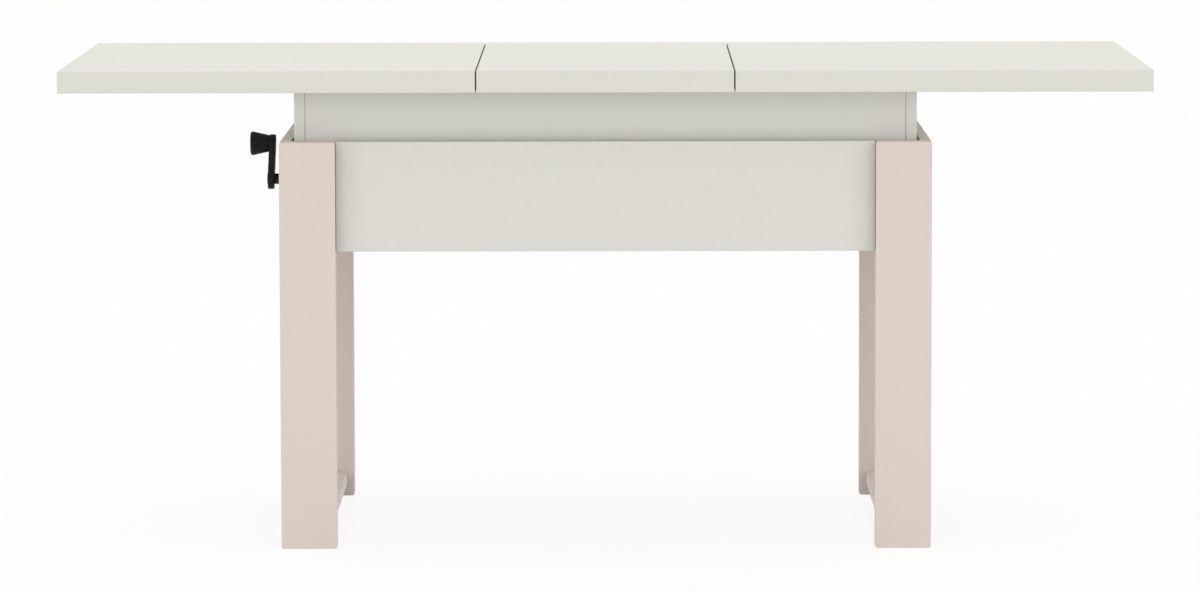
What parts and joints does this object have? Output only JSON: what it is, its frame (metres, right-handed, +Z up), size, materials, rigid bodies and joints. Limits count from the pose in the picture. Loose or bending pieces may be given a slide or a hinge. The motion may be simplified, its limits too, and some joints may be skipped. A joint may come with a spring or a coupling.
{
  "type": "convertible coffee dining table",
  "caption": "Extending table whose top and inner box rise on a crank-driven scissor lift, with top halves that slide apart for a lift-out leaf, on plank legs.",
  "frame": {"origin": "on the floor, under the middle of the table", "axes": "+X along the top away from the crank, +Y to the rear, +Z up"},
  "size_m": [1.6, 0.7, 0.71],
  "materials": {
    "top_laminate": "matt laminate, warm grey-white",
    "frame_laminate": "matt laminate, warm grey-white",
    "box_laminate": "matt laminate, warm grey-white",
    "leg_laminate": "matt laminate, pink beige",
    "raw_wood": "planed pine",
    "black_steel": "black powder coat",
    "zinc_steel": "zinc plated",
    "track_aluminium": "plain extruded",
    "white_nylon": "moulded nylon",
    "glide_plastic": "grey-brown plastic",
    "nut_brass": "turned brass",
    "black_plastic": "satin black plastic"
  },
  "bodies": {
    "base": {"front_apron": "frame_laminate", "rear_apron": "frame_laminate", "left_side_apron": "frame_laminate", "right_side_apron": "frame_laminate", "front_left_leg": "leg_laminate", "front_right_leg": "leg_laminate", "rear_left_leg": "leg_laminate", "rear_right_leg": "leg_laminate", "left_stretcher": "leg_laminate", "right_stretcher": "leg_laminate", "corner_blocks": "raw_wood", "foot_glides": "glide_plastic", "guide_pads": "white_nylon", "left_cross_beam": "black_steel", "right_cross_beam": "black_steel", "beam_cleats": "zinc_steel", "lower_front_rail": "black_steel", "lower_rear_rail": "black_steel", "lower_pivot_pins": "zinc_steel", "screw_bearing_block": "zinc_steel", "shaft_bush": "black_plastic"},
    "lift_box": {"box_front_panel": "box_laminate", "box_rear_panel": "box_laminate", "box_left_panel": "box_laminate", "box_right_panel": "box_laminate", "left_batten": "raw_wood", "right_batten": "raw_wood", "upper_front_rail": "black_steel", "upper_rear_rail": "black_steel", "upper_pivot_pins": "zinc_steel", "front_runner_track": "track_aluminium", "rear_runner_track": "track_aluminium"},
    "outer_arms": {"outer_front_arm": "black_steel", "outer_rear_arm": "black_steel", "outer_arm_tie": "black_steel", "centre_pins": "zinc_steel", "stub_axles": "zinc_steel"},
    "upper_front_roller": {"upper_front_roller": "white_nylon"},
    "upper_rear_roller": {"upper_rear_roller": "white_nylon"},
    "inner_arms": {"inner_front_arm": "black_steel", "inner_rear_arm": "black_steel", "inner_arm_tie": "black_steel"},
    "lower_axle": {"lower_axle": "zinc_steel", "lower_rollers": "white_nylon"},
    "nut_carriage": {"nut_carriage": "zinc_steel", "drive_nut": "nut_brass"},
    "crank": {"lead_screw": "zinc_steel", "crank_arm": "black_plastic", "knob_pin": "zinc_steel"},
    "crank_knob": {"crank_knob": "black_plastic"},
    "left_top": {"left_top_half": "top_laminate", "left_front_runner_bar": "zinc_steel", "left_rear_runner_bar": "zinc_steel"},
    "right_top": {"right_top_half": "top_laminate", "right_front_runner_bar": "zinc_steel", "right_rear_runner_bar": "zinc_steel"},
    "middle_leaf": {"middle_leaf": "top_laminate"}
  },
  "joints": [
    {"name": "top_lift", "type": "slide", "parent": "base", "child": "lift_box", "axis": [0, 0, 1], "range_m": [-0.075, 0.05]},
    {"name": "outer_arm_swing", "type": "hinge", "parent": "base", "child": "outer_arms", "pos_m": [0.293, 0, 0.483], "axis": [0, 1, 0], "range_deg": [-7.4, 5]},
    {"name": "inner_arm_swing", "type": "hinge", "parent": "lift_box", "child": "inner_arms", "pos_m": [0.293, 0, 0.612], "axis": [0, 1, 0], "range_deg": [-5, 7.4]},
    {"name": "upper_front_roll", "type": "hinge", "parent": "outer_arms", "child": "upper_front_roller", "pos_m": [-0.293, -0.174, 0.612], "axis": [0, 1, 0], "range_deg": [-45.2, 67.3]},
    {"name": "upper_rear_roll", "type": "hinge", "parent": "outer_arms", "child": "upper_rear_roller", "pos_m": [-0.293, 0.174, 0.612], "axis": [0, 1, 0], "range_deg": [-45.2, 67.3]},
    {"name": "lower_axle_roll", "type": "hinge", "parent": "inner_arms", "child": "lower_axle", "pos_m": [-0.293, 0, 0.483], "axis": [0, 1, 0], "range_deg": [-67.3, 45.2]},
    {"name": "nut_carriage_pivot", "type": "hinge", "parent": "inner_arms", "child": "nut_carriage", "pos_m": [-0.293, 0, 0.483], "axis": [0, 1, 0], "range_deg": [-7.4, 5]},
    {"name": "crank_turn", "type": "hinge", "parent": "base", "child": "crank", "pos_m": [-0.4795, 0, 0.524], "axis": [1, 0, 0], "range_deg": [-2689.8, 1793.8]},
    {"name": "knob_spin", "type": "hinge", "parent": "crank", "child": "crank_knob", "pos_m": [-0.526, 0, 0.578], "axis": [1, 0, 0], "continuous": true},
    {"name": "left_top_slide", "type": "slide", "parent": "lift_box", "child": "left_top", "axis": [-1, 0, 0], "range_m": [0, 0.04]},
    {"name": "right_top_slide", "type": "slide", "parent": "lift_box", "child": "right_top", "axis": [1, 0, 0], "range_m": [0, 0.04]},
    {"name": "leaf_lift", "type": "slide", "parent": "lift_box", "child": "middle_leaf", "axis": [0, 0, 1], "range_m": [0, 0.15]}
  ],
  "couplings": [
    {"joint": "outer_arm_swing", "follows": "top_lift", "rad_per_m": 1.703},
    {"joint": "inner_arm_swing", "follows": "top_lift", "rad_per_m": -1.703},
    {"joint": "nut_carriage_pivot", "follows": "top_lift", "rad_per_m": 1.703},
    {"joint": "upper_front_roll", "follows": "top_lift", "rad_per_m": -15.434},
    {"joint": "upper_rear_roll", "follows": "top_lift", "rad_per_m": -15.434},
    {"joint": "lower_axle_roll", "follows": "top_lift", "rad_per_m": 15.434},
    {"joint": "crank_turn", "follows": "top_lift", "rad_per_m": 625.47}
  ]
}
